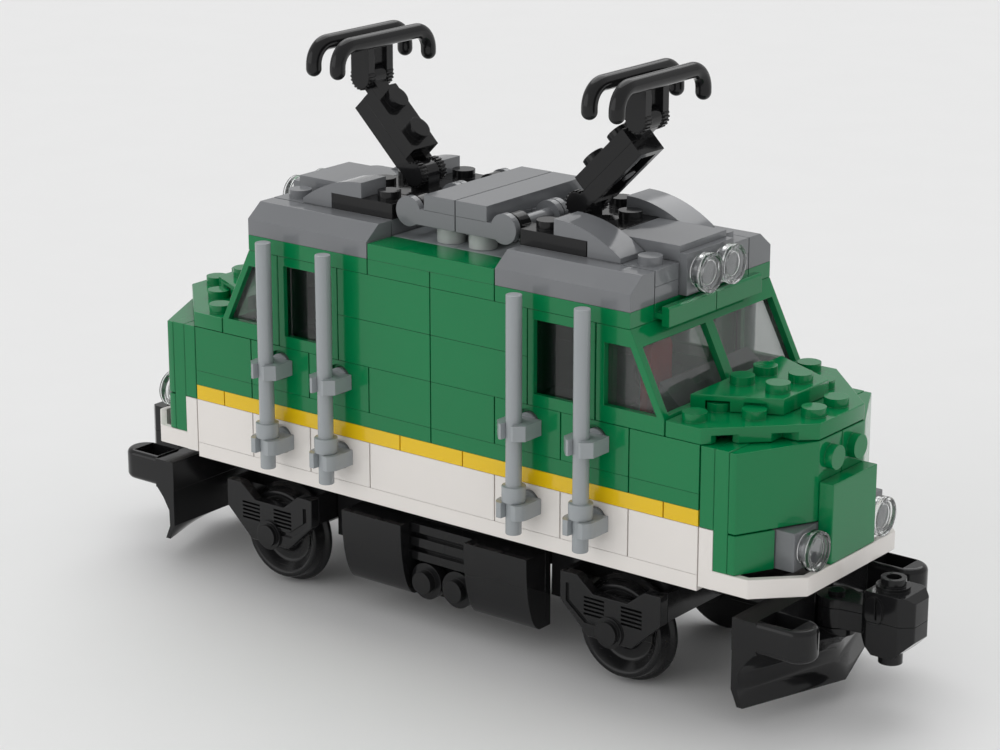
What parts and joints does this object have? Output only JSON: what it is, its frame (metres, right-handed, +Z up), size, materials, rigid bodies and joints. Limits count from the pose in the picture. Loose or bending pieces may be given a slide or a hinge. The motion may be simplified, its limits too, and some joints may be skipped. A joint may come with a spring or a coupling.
{
  "type": "model electric locomotive",
  "caption": "Brick-built toy electric locomotive with flanged wheels, tilting roof current collectors, upright side rods and swinging end couplers.",
  "frame": {"origin": "on the floor under the middle of the locomotive, at the wheel flanges' lowest level", "axes": "+X toward the front cab, +Y toward the left-hand side, +Z up"},
  "size_m": [0.197, 0.0614, 0.1171],
  "materials": {
    "white_bricks": "glossy",
    "yellow_bricks": "glossy",
    "green_bricks": "glossy",
    "dark_grey_bricks": "glossy",
    "light_grey_bricks": "glossy",
    "black_bricks": "glossy",
    "red_bricks": "glossy",
    "clear_plastic": "clear",
    "frosted_clear": "milky clear",
    "wheel_plastic": "semi-gloss",
    "axle_steel": "satin",
    "magnet_metal": "plated"
  },
  "bodies": {
    "locomotive_body": {"axle_carriers": "black_bricks", "buffer_beams": "black_bricks", "cab_consoles": "dark_grey_bricks", "cab_core_bricks": "light_grey_bricks", "cab_seats": "red_bricks", "collector_hinge_bases": "black_bricks", "grab_rods": "light_grey_bricks", "handle_plates": "dark_grey_bricks", "headlight_bricks": "dark_grey_bricks", "headlight_lenses": "clear_plastic", "insulator_base_tiles": "light_grey_bricks", "insulators": "frosted_clear", "lower_clip_bricks": "white_bricks", "lower_wall_bricks": "white_bricks", "nose_layers": "green_bricks", "nose_skirts": "white_bricks", "nose_slopes": "green_bricks", "nose_tiles": "green_bricks", "nose_wedges": "green_bricks", "rod_clips": "light_grey_bricks", "roof_caps": "dark_grey_bricks", "roof_clip_plates": "black_bricks", "roof_cover_tiles": "dark_grey_bricks", "roof_deck_plates": "dark_grey_bricks", "roof_edge_plates": "green_bricks", "roof_end_tiles": "dark_grey_bricks", "roof_inner_plates": "dark_grey_bricks", "roof_lamp_brackets": "dark_grey_bricks", "roof_lamp_lenses": "clear_plastic", "roof_rail_plates": "green_bricks", "roof_side_curves": "dark_grey_bricks", "side_frames": "black_bricks", "side_window_frames": "green_bricks", "side_window_panes": "clear_plastic", "sill_plate": "white_bricks", "skirt_brackets": "black_bricks", "skirt_grilles": "black_bricks", "skirt_panels": "black_bricks", "skirt_round_plates": "black_bricks", "stripe_plates": "yellow_bricks", "underframe_plate": "black_bricks", "upper_clip_bricks": "green_bricks", "upper_wall_bricks": "green_bricks", "waist_plates": "green_bricks", "windscreen_frames": "green_bricks", "windscreen_glass": "clear_plastic"},
    "front_wheelset": {"front_wheels": "wheel_plastic", "front_axle": "axle_steel"},
    "front_collector_arm": {"front_collector_arm_lower": "black_bricks", "front_collector_arm_upper": "black_bricks"},
    "front_collector_shoe": {"front_collector_head": "black_bricks"},
    "front_coupler": {"front_coupler_mouldings": "black_bricks", "front_coupler_magnet": "magnet_metal"},
    "rear_wheelset": {"rear_wheels": "wheel_plastic", "rear_axle": "axle_steel"},
    "rear_collector_arm": {"rear_collector_arm_lower": "black_bricks", "rear_collector_arm_upper": "black_bricks"},
    "rear_collector_shoe": {"rear_collector_head": "black_bricks"},
    "rear_coupler": {"rear_coupler_mouldings": "black_bricks", "rear_coupler_magnet": "magnet_metal"}
  },
  "joints": [
    {"name": "front_wheel_spin", "type": "hinge", "parent": "locomotive_body", "child": "front_wheelset", "pos_m": [0.044, 0, 0.011], "axis": [0, 1, 0], "continuous": true},
    {"name": "front_arm_tilt", "type": "hinge", "parent": "locomotive_body", "child": "front_collector_arm", "pos_m": [0.0205, 0, 0.0891], "axis": [0, 1, 0], "range_deg": [-45, 28]},
    {"name": "front_shoe_tilt", "type": "hinge", "parent": "front_collector_arm", "child": "front_collector_shoe", "pos_m": [0.03436, 0, 0.10748], "axis": [0, 1, 0], "range_deg": [-60, 60]},
    {"name": "front_coupler_swing", "type": "hinge", "parent": "locomotive_body", "child": "front_coupler", "pos_m": [0.08, 0, 0.0182], "axis": [0, 0, 1], "range_deg": [-30, 30]},
    {"name": "rear_wheel_spin", "type": "hinge", "parent": "locomotive_body", "child": "rear_wheelset", "pos_m": [-0.044, 0, 0.011], "axis": [0, 1, 0], "continuous": true},
    {"name": "rear_arm_tilt", "type": "hinge", "parent": "locomotive_body", "child": "rear_collector_arm", "pos_m": [-0.0205, 0, 0.0891], "axis": [0, -1, 0], "range_deg": [-45, 28]},
    {"name": "rear_shoe_tilt", "type": "hinge", "parent": "rear_collector_arm", "child": "rear_collector_shoe", "pos_m": [-0.03436, 0, 0.10748], "axis": [0, -1, 0], "range_deg": [-60, 60]},
    {"name": "rear_coupler_swing", "type": "hinge", "parent": "locomotive_body", "child": "rear_coupler", "pos_m": [-0.08, 0, 0.0182], "axis": [0, 0, 1], "range_deg": [-30, 30]}
  ]
}
